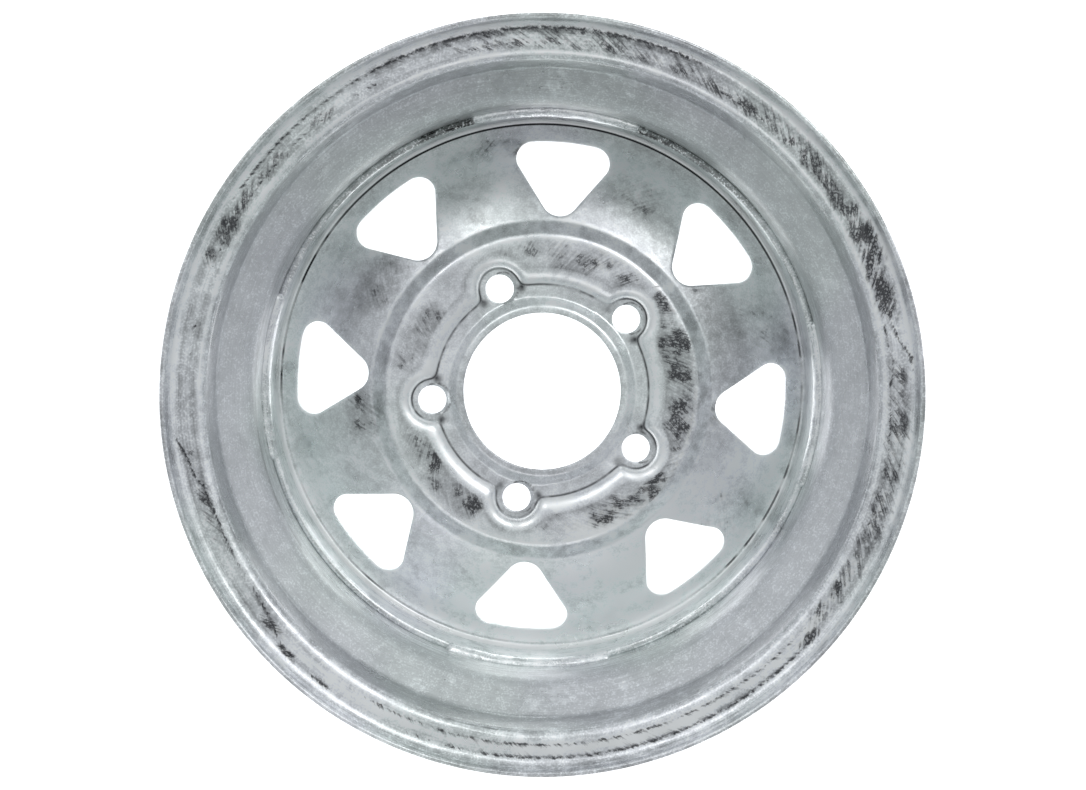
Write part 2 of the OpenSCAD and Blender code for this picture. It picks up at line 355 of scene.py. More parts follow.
def stud_ring(x, y):
    """Distance outside the foot of the stud ring's wall, the wall's width, and the depth of the floor."""
    near = np.exp(-(np.hypot(x, y) - WALL_FOOT_R) / SOFT)
    lobes = np.zeros_like(near)
    pad = np.zeros_like(near)
    for (sx, sy), a in zip(STUDS, STUD_ANGLES):
        lobes += np.exp(-(np.hypot(x - sx, y - sy) - LOBE_FOOT_R) / SOFT)
        c, s = polar(1, a)
        across = np.abs(-x * s + y * c) * np.where(x * c + y * s > 0, 1, 1e3)
        pad = np.maximum(pad, np.clip((PAD_HALF + PAD_EDGE - across) / (2 * PAD_EDGE), 0, 1))
    share = lobes / (near + lobes)
    out = -SOFT * np.log(near + lobes)
    return out, WALL_WIDTH + (LOBE_WIDTH - WALL_WIDTH) * share, HUB_DEPTH + COIN_DEPTH * pad


def outline_gap(x, y, edge):
    """Distance from points to a closed outline, for points close to it."""
    way = np.roll(edge, -1, axis=0) - edge
    p = np.stack([x, y], axis=-1)[:, None, :] - edge[None]
    t = np.clip((p * way).sum(-1) / (way * way).sum(-1), 0, 1)
    return np.hypot(*np.moveaxis(p - t[..., None] * way, -1, 0)).min(axis=1)


def near_window(x, y, edge):
    cx, cy = edge.mean(axis=0)
    return np.hypot(x - cx, y - cy) < WINDOW_REACH


def edge_gaps(x, y):
    """Distance to the nearest stud hole and to the nearest window."""
    hole = np.full_like(x, 99.0)
    for sx, sy in STUDS:
        hole = np.minimum(hole, np.abs(np.hypot(x - sx, y - sy) - STUD_HOLE_R))
    window = np.full_like(x, 99.0)
    for edge in WINDOW_EDGES:
        near = near_window(x, y, edge)
        if near.any():
            window[near] = np.minimum(window[near], outline_gap(x[near], y[near], edge))
    return hole, window


def stud_bevel(x, y):
    """Worn bevel on one side of each stud hole: its width, and how far a point lies from the hole."""
    width = np.zeros_like(x)
    gap = np.full_like(x, 99.0)
    for sx, sy in STUDS:
        far = np.hypot(x - sx, y - sy)
        near = far < STUD_HOLE_R + BEVEL_REACH
        lean = np.cos(np.arctan2(y - sy, x - sx) - BEVEL_TURN)
        width = np.where(near, BEVEL_WIDTH * np.clip(lean + 0.15, 0, 1) ** 0.8, width)
        gap = np.where(near, far - STUD_HOLE_R, gap)
    return width, gap


def rounded(gap, r):
    t = np.clip(r - gap, 0, r)
    return r - np.sqrt(np.maximum(r * r - t * t, 0))


def cone_height(r, out):
    """Spokes, step and hub ring in section; beyond the spokes the cone runs on straight."""
    pts = sheet_side(DISC_PATH, DISC_BENDS, out, 3)
    cone = [p for p in pts if p[0] < CONE_END_R]
    a, b = np.array(DISC_PATH[1], float), np.array(DISC_PATH[2], float)
    u = (b - a) / np.linalg.norm(b - a)
    foot = a + np.array([-u[1], u[0]]) * out
    slope = u[1] / u[0]
    rs = [p[0] for p in cone][::-1] + [BEYOND_R]
    zs = [p[1] for p in cone][::-1] + [foot[1] + (BEYOND_R - foot[0]) * slope]
    return np.interp(r, rs, zs)


def raised(height):
    return np.exp(np.clip(height / CREASE_ROUND, -60, 60))


def inboard_height(x, y):
    r = np.hypot(x, y)
    out, width, depth = stud_ring(x, y)
    rho = (width ** 2 + depth ** 2) / (2 * depth)
    t = np.clip(width - out, 0, width)
    fall = np.where(out < 0, depth, rho - np.sqrt(rho ** 2 - t ** 2))
    z = cone_height(r, 0) - fall
    # the bore lip turns up from the floor and rounds over at its top
    slope = -HUB_DEPTH + (LIP_CREASE_R - r) * LIP_SLOPE
    lip = -LIP_ROUND * np.log(np.exp(-slope / LIP_ROUND) + math.exp(LIP_DROP / LIP_ROUND))
    z = np.where(r < LIP_CREASE_R + 3, CREASE_ROUND * np.log(raised(z) + raised(lip)), z)
    hole, window = edge_gaps(x, y)
    wide, far = stud_bevel(x, y)
    bevel = np.clip(wide - far, 0, BEVEL_WIDTH) * BEVEL_FALL
    return z - rounded(r - BORE_R, 0.7) - np.maximum(rounded(hole, 0.6), bevel) - rounded(window, 0.9)


def outboard_height(x, y):
    r = np.hypot(x, y)
    out, width, depth = stud_ring(x, y)
    rho = np.maximum((width ** 2 + depth ** 2) / (2 * depth) - DISC_T, 2.0)
    t = np.clip(width - out, 0, rho)
    fall = rho - np.sqrt(np.maximum(rho ** 2 - t ** 2, 0))
    fall = np.minimum(np.where(width - out > rho, depth, fall), depth)
    z = cone_height(r, DISC_T) - fall
    lip = -HUB_DEPTH + (LIP_CREASE_R - r) * LIP_SLOPE - DISC_T / math.cos(LIP_LEAN)
    z = np.where(r < LIP_CREASE_R, np.maximum(z, lip), z)
    hole, window = edge_gaps(x, y)
    cone = np.clip(0.85 - hole, 0, 1) / math.tan(math.radians(30))
    return z + cone + rounded(window, 0.5) + rounded(r - BORE_R, 0.3)


def along_line(at, run, line):
    return np.stack([np.interp(at, run, line[:, 0]), np.interp(at, run, line[:, 1])], axis=-1)


def flange_rows(out):
    """Groove and flange in section from the open face to the edge, evenly spaced along the sheet."""
    pts = sheet_side(DISC_PATH, DISC_BENDS, out, 3)
    first = next(i for i, p in enumerate(pts) if p[0] < FACE_END_R)
    a, b = pts[first - 1], pts[first]
    t = (FACE_END_R - a[0]) / (b[0] - a[0])
    line = [(FACE_END_R, a[1] + (b[1] - a[1]) * t)] + pts[1:first][::-1]
    end_r, end_z = pts[0]
    corner = []
    if out == 0:
        middle = (end_r + FLANGE_ROUND, end_z - FLANGE_ROUND)
        line += [(end_r, middle[1])] + half_round(middle, FLANGE_ROUND, 180, -90, 5)[1:]
    else:
        line += [(end_r, end_z - FLANGE_CORNER)]
        corner = [(end_r - FLANGE_CORNER, end_z), (end_r - 1.3, end_z)]
    line = np.array(line)
    run = np.concatenate([[0], np.cumsum(np.hypot(*np.diff(line, axis=0).T))])
    at = np.linspace(0, run[-1], FLANGE_ROWS - len(corner))
    return np.vstack([along_line(at, run, line)] + [[c] for c in corner])


def level_lines(levels):
    """Lines that run round the stud ring, each at one share of its wall's width."""
    turn = np.linspace(0, 2 * math.pi, 3600, endpoint=False)
    reach = np.linspace(49.2, 80, 420)
    t, q = np.meshgrid(turn, reach, indexing="ij")
    out, width, _ = stud_ring(q * np.cos(t), q * np.sin(t))
    share = out / width
    lines = []
    for level in levels:
        last = share.shape[1] - 1 - np.argmax((share < level)[:, ::-1], axis=1)
        last = np.clip(last, 0, share.shape[1] - 2)
        i = np.arange(len(turn))
        f = np.clip((level - share[i, last]) / (share[i, last + 1] - share[i, last]), 0, 1)
        r = reach[last] + f * (reach[1] - reach[0])
        lines.append(np.stack([r * np.cos(turn), r * np.sin(turn)], axis=-1))
    return lines


def resample(loop, gap):
    """Points at even gaps along a closed line."""
    step = np.hypot(*(np.roll(loop, -1, axis=0) - loop).T)
    run = np.concatenate([[0], np.cumsum(step)])
    n = max(12, int(run[-1] / gap))
    at = np.arange(n) * run[-1] / n
    return along_line(at, run, np.vstack([loop, loop[:1]]))


def in_convex(p, loop):
    way = np.roll(loop, -1, axis=0) - loop
    inside = np.ones(len(p), bool)
    for (ax, ay), (wx, wy) in zip(loop, way):
        inside &= wx * (p[:, 1] - ay) - wy * (p[:, 0] - ax) > -1e-9
    return inside


def hole_lines():
    """Edges of the bore, the stud holes and the windows, and close lines beside each for its rounding."""
    edges = [circle(BORE_R, BORE_STEPS)]
    beside = [circle(BORE_R + d, BORE_STEPS, start=0.01) for d in (0.12, 0.35, 0.7, 1.4, 2.2)]
    for sx, sy in STUDS:
        edges.append(circle(STUD_HOLE_R, STUD_STEPS, sx, sy))
        beside += [circle(STUD_HOLE_R + d, STUD_STEPS, sx, sy, 0.03) for d in (0.1, 0.3, 0.6, 0.95, 1.7)]
    for k, edge in enumerate(WINDOW_EDGES):
        edges.append(edge)
        beside += [np.array(window_outline(k, d)) for d in (0.14, 0.4, 0.9, 1.9)]
    return edges, beside


def form_lines():
    """The two sharp creases of the hub, and lines that follow the form from the bore lip to the flange."""
    creases = [circle(LIP_CREASE_R, BORE_STEPS)]
    lines = []
    for radii in (LIP_LINES, FLOOR_LINES):
        lines += [circle(r, BORE_STEPS, start=0.005 * i) for i, r in enumerate(radii)]
    for level, line in zip(WALL_LEVELS, level_lines(WALL_LEVELS)):
        (lines if level else creases).append(resample(line, 0.9))
    for a in STUD_ANGLES:
        c, s = polar(1, a)
        for t in (-PAD_HALF - PAD_EDGE, -PAD_HALF + PAD_EDGE, PAD_HALF - PAD_EDGE, PAD_HALF + PAD_EDGE):
            run = np.arange(47.4, 55.5, 0.7)
            q = np.sqrt(run ** 2 - t * t)
            lines.append(np.stack([q * c - t * s, q * s + t * c], axis=-1))
    for i, r in enumerate(HUB_LINES + SPOKE_LINES):
        lines.append(circle(r, int(2 * math.pi * r / 1.75), start=0.37 * i))
    # groove and flange, laid out flat beyond the open face
    for i in range(FLANGE_ROWS):
        lines.append(circle(FACE_END_R + i, FLANGE_STEPS, start=(i % 2) * math.pi / FLANGE_STEPS))
    return creases, lines


def on_sheet(p):
    """Which points lie outside the holes and not almost on their edges."""
    x, y = p.T
    inside = np.hypot(x, y) < BORE_R + 0.05
    for sx, sy in STUDS:
        inside |= np.hypot(x - sx, y - sy) < STUD_HOLE_R + 0.05
    for edge in WINDOW_EDGES:
        near = near_window(x, y, edge)
        inside[near] |= in_convex(p[near], edge)
    hole, window = edge_gaps(x, y)
    return ~inside & (hole > 0.08) & (window > 0.1)


def thinned(points):
    """Leaves one point in each small cell."""
    taken = set()
    kept = []
    for x, y in points:
        cell = (math.floor(x / THIN_CELL), math.floor(y / THIN_CELL))
        if cell not in taken:
            taken.add(cell)
            kept.append((x, y))
    return kept


def flat_disc():
    """Points and triangles of the disc laid flat, with the flange spread out round the open face."""
    holes, beside = hole_lines()
    creases, lines = form_lines()
    pts, edges = [], []
    for loop in holes + creases:
        start = len(pts)
        pts += [tuple(p) for p in loop]
        edges += [(start + i, start + (i + 1) % len(loop)) for i in range(len(loop))]
    fill = np.vstack(beside + lines)
    pts += thinned(fill[on_sheet(fill)])
    flat, _, faces, _, _, _ = delaunay_2d_cdt([Vector(p) for p in pts], edges, [], 0, 1e-5, False)
    flat = np.array([(v.x, v.y) for v in flat])
    faces = np.array([f for f in faces if len(f) == 3])
    middle = flat[faces].mean(axis=1)
    drop = np.zeros(len(faces), bool)
    for loop in holes:
        c = loop.mean(axis=0)
        near = np.hypot(middle[:, 0] - c[0], middle[:, 1] - c[1]) < HOLE_REACH
        drop[near] |= in_convex(middle[near], loop)
    used, faces = np.unique(faces[~drop], return_inverse=True)
    return flat[used], faces.reshape(-1, 3)


def make_disc():
    flat, faces = flat_disc()
    r = np.hypot(flat[:, 0], flat[:, 1])
    turn = np.arctan2(flat[:, 1], flat[:, 0])
    rows = np.arange(FLANGE_ROWS)
    along = np.clip(r - FACE_END_R, 0, FLANGE_ROWS - 1)
    on_face = r <= FACE_END_R + 1e-6
    sheets = []
    for out, height in ((0, inboard_height), (DISC_T, outboard_height)):
        section = flange_rows(out)
        sr = np.where(on_face, r, np.interp(along, rows, section[:, 0]))
        sz = np.interp(along, rows, section[:, 1])
        sz[on_face] = height(flat[on_face, 0], flat[on_face, 1])
        x, y = sr * np.cos(turn), sr * np.sin(turn)
        # the spokes are uneven; the hub and the flange stay true
        loose = np.clip((140 - sr) / 4, 0, 1) * np.clip((sr - 82) / 10, 0, 1)
        sz = sz - DISC_SWAY - DISC_SWAY * unevenness(x, y, 0 * x, 11, 60) * loose + DISC_SWAY * (1 - loose)
        sheets.append(np.stack([x, y, np.minimum(sz, 0.0)], axis=-1))
    count = len(flat)
    sides = np.concatenate([faces[:, [0, 1]], faces[:, [1, 2]], faces[:, [2, 0]]]).tolist()
    seen = dict.fromkeys(map(tuple, sides))
    open_sides = [(i, j) for i, j in seen if (j, i) not in seen]
    solid = faces.tolist() + (faces[:, ::-1] + count).tolist()
    solid += [(j, i, i + count, j + count) for i, j in open_sides]
    disc = new_piece("stamped_disc", np.vstack(sheets), solid)
    hand_over(disc, "disc")
    return disc


# Weld beads
def make_beads():
    verts, faces = [], []
    row = BEAD_ARC + 2
    for b, start in enumerate(BEAD_STARTS):
        base = len(verts)
        for i in range(BEAD_STEPS + 1):
            t = i / BEAD_STEPS
            a = start + BEAD_SWEEP * t
            far = min(t, 1 - t) * BEAD_SWEEP * math.pi / 180 * WELL_R
            end = math.sqrt(max(0.02, 1 - max(0.0, 1 - far / BEAD_END) ** 2))
            ripple = 0.02 * math.sin(t * 31 + b) + 0.004 * math.sin(t * 97 + 2 * b)
            leg = BEAD_LEG * (0.90 + ripple) * end
            verts.append((*polar(WELL_R, a), FLANGE_EDGE_Z))
            for k in range(BEAD_ARC + 1):
                s = math.pi / 2 * k / BEAD_ARC
                p = Vector((*polar(WELL_R, a), 3.0 * s + 40 * b))
                grain = noise.noise(p * 0.3) * 0.06 + noise.noise(p * 1.1) * 0.012
                bulge = leg * (1 + grain * (0.4 + 0.6 * math.sin(2 * s)) - 0.10 * math.sin(2 * s))
                verts.append((*polar(WELL_R - bulge * math.sin(s), a), FLANGE_EDGE_Z + bulge * math.cos(s)))
        faces += quads(base, BEAD_STEPS + 1, row)
        faces.append(tuple(base + k for k in range(row))[::-1])
        faces.append(tuple(base + BEAD_STEPS * row + k for k in range(row)))
    beads = new_piece("weld_beads_run", verts, faces)
    hand_over(beads, "weld_beads")
    return beads


# Zinc finish
class Nodes:
    """A node tree that is filled a node at a time; a word given to a socket names a painted value."""

    def __init__(self, tree):
        self.tree = tree

    def add(self, kind, inputs=None, **props):
        node = self.tree.nodes.new("ShaderNode" + kind)
        for key, value in props.items():
            setattr(node, key, value)
        for key, value in (inputs or {}).items():
            if isinstance(value, str):
                value = self.add("Attribute", attribute_name=value).outputs["Fac"]
            if isinstance(value, bpy.types.NodeSocket):
                self.tree.links.new(value, node.inputs[key])
            else:
                node.inputs[key].default_value = value
        return node

    def math(self, operation, a, b=0.0, clamp=False):
        return self.add("Math", {0: a, 1: b}, operation=operation, use_clamp=clamp).outputs[0]

    def plus(self, a, b):
        return self.math("ADD", a, b)

    def minus(self, a, b):
        return self.math("SUBTRACT", a, b)

    def times(self, a, b):
        return self.math("MULTIPLY", a, b)

    def vector(self, operation, inputs):
        return self.add("VectorMath", inputs, operation=operation).outputs[0]

    def mix(self, share, a, b):
        return self.add("Mix", {0: share, 6: a, 7: b}, data_type="RGBA").outputs[2]

    def span(self, value, low, high, to_low=0.0, to_high=1.0):
        inputs = {0: value, 1: low, 2: high, 3: to_low, 4: to_high}
        return self.add("MapRange", inputs, interpolation_type="SMOOTHSTEP").outputs[0]

    def noise(self, vector, scale, detail, rough):
        inputs = {"Vector": vector, "Scale": scale, "Detail": detail, "Roughness": rough}
        return self.add("TexNoise", inputs).outputs[0]


VECTOR = "NodeSocketVector"
COLOUR = "NodeSocketColor"
FLOAT = "NodeSocketFloat"


def effect(name, inputs, outputs):
    """A node group; an input is a kind of socket, or the number that a float socket starts from."""
    group = bpy.data.node_groups.new(name, "ShaderNodeTree")
    for label, start in inputs.items():
        kind = start if isinstance(start, str) else FLOAT
        socket = group.interface.new_socket(label, in_out="INPUT", socket_type=kind)
        if kind == FLOAT:
            socket.default_value = start
    for label, kind in outputs.items():
        group.interface.new_socket(label, in_out="OUTPUT", socket_type=kind)
    out = group.nodes.new("NodeGroupOutput").inputs

    def done(**values):
        for label, value in values.items():
            group.links.new(value, out[label])
        return group

    return Nodes(group), group.nodes.new("NodeGroupInput").outputs, done


def round_the_wheel_effect():
    """Place on the wheel for marks that run round, across or aslant, by the slant and the two scales."""
    n, i, done = effect("round_the_wheel", {"Place": VECTOR, "Slant": 0.0, "Round": 60.0, "Across": 300.0},
                        {"Spot": VECTOR, "Radius": FLOAT})
    part = n.add("SeparateXYZ", {0: i["Place"]}).outputs
    flat = n.add("CombineXYZ", {0: part[0], 1: part[1]}).outputs[0]
    radius = n.add("VectorMath", {0: flat}, operation="LENGTH").outputs["Value"]
    way = n.vector("NORMALIZE", {0: flat})
    lean = n.times(radius, i["Slant"])
    turned = n.add("VectorRotate", {"Vector": way, "Angle": lean}, rotation_type="Z_AXIS").outputs[0]
    scaled = n.vector("SCALE", {0: turned, "Scale": i["Round"]})
    depth = n.times(n.plus(radius, part[2]), i["Across"])
    deep = n.add("CombineXYZ", {2: depth}).outputs[0]
    spot = n.vector("ADD", {0: scaled, 1: deep})
    return done(Spot=spot, Radius=radius)


def zinc_skin_effect():
    """Mottled zinc: drifting tints, soft clouds, chalky flow marks, grey scuffs, streaks and fine grain."""
    inputs = {"Place": VECTOR, "Drawn": VECTOR, "Tone": 0.5, "Mottle": 0.08, "Streak": 0.06, "Chalk": 0.3,
              "Scuff": 0.3, "Sparkle": 0.2, "Dull": 0.0}
    n, i, done = effect("zinc_skin", inputs, {"Colour": COLOUR, "Roughness": FLOAT, "Height": FLOAT})
    drift = n.noise(i["Place"], 13, 0, 0.5)
    cloud = n.noise(i["Place"], 36, 2, 0.66)
    fleck = n.noise(i["Place"], 230, 1, 0.65)
    flow = n.noise(i["Place"], 62, 3, 0.74)
    grain = n.noise(i["Place"], 1100, 0, 0.6)
    drawn = n.noise(i["Drawn"], 1.0, 2, 0.6)
    tint = n.mix(n.span(drift, 0.38, 0.62), (0.785, 0.828, 0.826, 1), (0.80, 0.815, 0.846, 1))
    shade = n.plus(n.span(cloud, 0.30, 0.70, -1.0, 1.0), n.span(fleck, 0.30, 0.70, -0.7, 0.7))
    shade = n.times(n.plus(shade, n.span(grain, 0.25, 0.75, -0.6, 0.6)), i["Mottle"])
    shade = n.plus(shade, n.times(n.span(drawn, 0.30, 0.70, -1.0, 1.0), i["Streak"]))
    swept = n.plus(n.times(flow, 0.85), n.times(drawn, 0.15))
    chalk = n.times(n.span(swept, 0.53, 0.65), i["Chalk"])
    scuff = n.times(n.span(flow, 0.46, 0.30), i["Scuff"])
    spark = n.times(n.span(n.plus(grain, n.times(fleck, 0.5)), 0.84, 0.98), i["Sparkle"])
    shade = n.plus(shade, n.times(chalk, 0.34))
    shade = n.minus(shade, n.times(scuff, 0.55))
    shade = n.plus(shade, n.times(spark, 0.6))
    shade = n.plus(n.plus(shade, 0.5), i["Tone"])
    colour = n.vector("SCALE", {0: tint, "Scale": shade})
    colour = n.vector("MINIMUM", {0: colour, 1: (0.93, 0.94, 0.945)})
    rough = n.plus(n.span(cloud, 0.28, 0.72, 0.24, 0.42), n.times(chalk, 0.2))
    rough = n.plus(n.plus(rough, n.times(scuff, 0.15)), i["Dull"])
    swell = n.noise(i["Place"], 38, 0, 0.5)
    pimple = n.noise(i["Place"], 330, 0, 0.5)
    lump = n.plus(swell, n.times(pimple, 0.09))
    return done(Colour=colour, Roughness=rough, Height=lump)


def rubbed_effect():
    """Dark strokes and smears where the zinc is rubbed down, with bright nicks in them, and split lines."""
    inputs = {"Place": VECTOR, "Spot": VECTOR, "Amount": 0.0, "Lines": 0.0, "Combed": 0.46, "Smear": 0.42,
              "Colour": COLOUR, "Roughness": 0.3}
    n, i, done = effect("rubbed_zinc", inputs, {"Colour": COLOUR, "Roughness": FLOAT})
    stroke = n.noise(i["Spot"], 1.0, 2, 0.65)
    blot = n.noise(i["Place"], 95, 2, 0.65)
    speck = n.noise(i["Place"], 650, 1, 0.6)
    field = n.plus(n.times(stroke, i["Combed"]), n.times(blot, n.minus(0.80, i["Combed"])))
    field = n.plus(field, n.times(speck, 0.20))
    gap = n.minus(field, n.minus(0.68, n.times(i["Amount"], 0.29)))
    nick = n.span(n.plus(speck, stroke), 1.04, 1.26, 1.0, 0.55)
    hard = n.times(n.span(gap, -0.04, 0.08), nick)
    smear = n.times(n.span(gap, -0.16, 0.02), n.times(i["Amount"], i["Smear"]))
    dark = n.math("MAXIMUM", n.math("MAXIMUM", hard, smear), i["Lines"])
    colour = n.mix(n.times(dark, 0.95), i["Colour"], (0.036, 0.036, 0.041, 1))
    return done(Colour=colour, Roughness=n.plus(i["Roughness"], n.times(dark, 0.12)))


def split_effect():
    """Dark ragged lines: how far off the line a place lies, and how much of the line is left."""
    inputs = {"Place": VECTOR, "Spot": VECTOR, "Off": 0.0, "Amount": 0.0}
    n, i, done = effect("split_zinc", inputs, {"Mask": FLOAT})
    ragged = n.noise(i["Place"], 380, 2, 0.7)
    hold = n.noise(i["Spot"], 1.0, 2, 0.6)
    off = n.plus(i["Off"], n.times(n.minus(ragged, 0.5), 3.0))
    held = n.plus(hold, n.times(i["Amount"], 0.5))
    wide = n.span(held, 0.60, 1.15, 0.5, 2.0)
    line = n.span(n.math("DIVIDE", n.math("ABSOLUTE", off), wide), 1.0, 0.1)
    line = n.times(line, n.span(ragged, 0.66, 0.46, 0.35, 1.0))
    kept = n.times(n.span(held, 0.62, 0.88), n.span(i["Amount"], 0.05, 0.25))
    return done(Mask=n.times(line, kept))


ROUND_THE_WHEEL = round_the_wheel_effect()
ZINC_SKIN = zinc_skin_effect()
RUBBED = rubbed_effect()
SPLIT = split_effect()
# Line of painted shade in the groove and painted highlight line beside it: radius, half width of the line
# and of its core
SEAM_R = 139.7
SEAM_EDGE = 0.8
SEAM_CORE = 0.3
GLINT_R = 141.6
GLINT_EDGE = 1.4
GLINT_CORE = 0.8
ZINC_METAL = 0.72
# Marks on the hub are less combed and more smeared than on the flange
HUB_STROKES = {"Combed": 0.31, "Smear": 0.58}


def ring_line(n, radius, at, edge, core):
    """A line round the wheel at one radius, in millimetres."""
    return n.span(n.math("ABSOLUTE", n.minus(radius, at * MM)), edge * MM, core * MM)


def groove_shade_and_glint(n, place, radius, colour, metal):
    """A dark line of painted shade at the foot of the flange, a pale painted highlight beside it, and
    painted shade in the creases.
    """
    # painted highlight beside the groove
    glint = n.times(ring_line(n, radius, GLINT_R, GLINT_EDGE, GLINT_CORE), "painted_seam_glint")
    colour = n.mix(glint, colour, (0.97, 0.97, 0.97, 1))
    metal = n.minus(metal, n.times(glint, 0.65))
    # a broken line of painted shade in the groove, and painted shade in the creases
    broken = n.plus(n.noise(place, 70, 2, 0.65), n.times("painted_seam_shade", 0.3))
    broken = n.span(broken, 0.34, 0.58, 0.25)
    thin = ring_line(n, radius, SEAM_R, SEAM_EDGE, SEAM_CORE)
    shade_lines = n.math("MAXIMUM", "painted_crease_shade", n.times(thin, "painted_seam_shade"))
    return n.mix(n.times(shade_lines, broken), colour, (0.02, 0.02, 0.024, 1)), metal


def zinc_material(name, drawn, look, strokes=None, splits=None, grooved=False, bump=0.3):
    """Zinc with streaks, rubbed strokes, split lines, and painted shade and a painted highlight in a groove
    and in creases; a way is slant, round and across.
    """
    mat = bpy.data.materials.new(name)
    mat.use_nodes = True
    mat.node_tree.nodes.clear()
    n = Nodes(mat.node_tree)
    place = n.add("TexCoord").outputs["Object"]

    def group(tree, links):
        return n.add("Group", links, node_tree=tree).outputs

    def around(way):
        return group(ROUND_THE_WHEEL, dict(zip(("Place", "Slant", "Round", "Across"), (place,) + way)))

    run = around(drawn)
    skin = group(ZINC_SKIN, dict(look, Place=place, Drawn=run["Spot"], Tone="tone"))
    colour, rough, metal = skin["Colour"], skin["Roughness"], ZINC_METAL
    if strokes:
        links = {"Place": place, "Spot": around(strokes)["Spot"], "Amount": "rub", "Colour": colour,
                 "Roughness": rough}
        if grooved:
            links.update(HUB_STROKES)
        if splits:
            line = {"Off": "line_off", "Amount": "line_left", "Spot": around(splits)["Spot"]}
            links["Lines"] = group(SPLIT, dict(line, Place=place))["Mask"]
        rubbed = group(RUBBED, links)
        colour, rough = rubbed["Colour"], rubbed["Roughness"]
    # painted shade in the groove and the creases, and a painted highlight beside the groove
    if grooved:
        colour, metal = groove_shade_and_glint(n, place, run["Radius"], colour, metal)
    lumps = n.add("Bump", {"Height": skin["Height"], "Strength": bump, "Distance": 0.002})
    shader = n.add("BsdfPrincipled", {"Base Color": colour, "Roughness": rough, "Metallic": metal,
                                      "Normal": lumps.outputs[0]})
    n.tree.links.new(shader.outputs[0], n.add("OutputMaterial").inputs[0])
    return mat


# Where the zinc is rubbed
# Marks placed one by one: angle, radius, half width in degrees, half depth in mm, strength
FLANGE_RUB = [
    (19, 170.0, 4.5, 4, 1.0), (25, 171, 5, 5, 1.0), (30, 171.5, 3, 4.5, 0.8), (35, 170, 4, 3.5, 0.78),
    (16, 172, 3, 4, 0.75), (43, 171, 5, 4.5, 0.7), (50, 172, 4, 4, 0.62), (57, 169.5, 4, 3.5, 0.76),
    (66, 170, 6, 3.2, 0.74), (76, 169.8, 7, 3, 0.72), (86, 169.8, 5, 3, 0.66), (97, 169.8, 6, 2.5, 0.66),
    (75, 174.6, 9, 2, 0.7), (92, 175, 12, 2, 0.7), (111, 174.6, 9, 2, 0.6), (128, 169.5, 3, 2.5, 0.7),
    (140, 169.8, 4, 3, 0.7), (146, 170, 3, 3, 0.6), (151.5, 170.5, 2.2, 4, 0.85), (157, 172, 2, 3, 0.62),
    (190, 171.5, 4, 3, 0.6), (198, 169.5, 6, 3, 0.6), (220, 170.5, 2, 2.5, 0.9),
    (224.5, 174.3, 1.6, 1.6, 0.9), (318, 173.5, 2, 2, 0.8), (325, 170.5, 5, 5, 0.58),
    (327, 169, 1.6, 2.5, 0.95), (333, 171, 6, 5, 0.64), (341, 171, 5, 5, 0.72), (347, 171.5, 4, 5, 0.74),
    (354, 171, 5, 5, 0.62), (2, 170, 4, 5, 0.55)
]
# Two dark lines that run round the flange: angle and radius, then angle and how much of the line is left
INNER_LINE = {
    0: 166.8, 2: 166.8, 5.5: 168.8, 8.5: 167.4, 12.5: 167.4, 14: 168.6, 30: 168.8, 52: 168.8, 90: 169.3,
    150: 169.2, 175: 170, 184: 177.5, 186: 176.6, 189.3: 172.7, 192.6: 171, 194: 168.5, 199.6: 167,
    210: 166.8, 214: 167, 218.7: 169, 220.6: 171, 223.4: 173.8, 225.7: 175.2, 226.5: 174, 227: 168.6,
    229: 168.4, 312: 168.4, 350: 168.4, 360: 166.8
}
INNER_LEFT = {
    0: 0.5, 5: 0.6, 12: 0.5, 13.5: 0, 29: 0, 30: 0.75, 40: 0.7, 42: 0.2, 51: 0.2, 52: 0.7, 59: 0.7,
    61: 0.35, 90: 0.35, 101: 0.4, 104: 0.1, 115: 0.1, 117: 0.4, 123: 0.4, 125: 0.1, 127: 0.5, 131: 0.4,
    136: 0.3, 138: 0.6, 146: 0.6, 149: 0.8, 154: 0.7, 156: 0.3, 166: 0.1, 168: 0.4, 171: 0.4, 173: 0.1,
    184: 0, 186: 0.55, 188: 0.95, 193: 0.9, 200: 0.8, 206: 0.5, 210: 0.35, 213: 0.3, 214: 0.7, 218: 1,
    221: 1, 222.2: 0.2, 223.2: 0.9, 225.7: 0.9, 226.2: 0, 227: 0.3, 230: 0.1, 240: 0.2, 241: 0.6,
    243: 0.5, 250: 0.5, 260: 0.6, 270: 0.6, 290: 0.55, 312: 0.5, 316: 0.2, 325: 0.3, 327: 0.7, 329: 0.3,
    345: 0.4, 360: 0.5
}
OUTER_LINE = {
    0: 174.6, 4: 177.5, 7: 177, 8: 175.5, 9.5: 173, 12: 171, 13: 171, 30: 175, 60: 175.6, 90: 176,
    115: 175.2, 143: 174.8, 180: 179, 186: 180.5, 226: 180, 229: 175, 231.5: 174.5, 246: 174.7,
    312: 174.5, 360: 174.6
}
OUTER_LEFT = {
    0: 0.3, 5.5: 0.3, 7: 0.8, 12: 0.75, 13: 0, 60: 0, 64: 0.3, 67: 0.8, 75: 0.95, 90: 1, 101: 1, 115: 0.9,
    120: 0.6, 135: 0.55, 143: 0.6, 147: 0.2, 150: 0.1, 180: 0, 229: 0, 230.5: 0.9, 233: 0.8, 234: 0,
    246: 0.1, 250: 0.4, 258: 0.45, 262: 0.6, 270: 0.7, 285: 0.75, 312: 0.8, 315: 0.4, 318: 0.5, 320: 0.2,
    340: 0.3, 360: 0.3
}
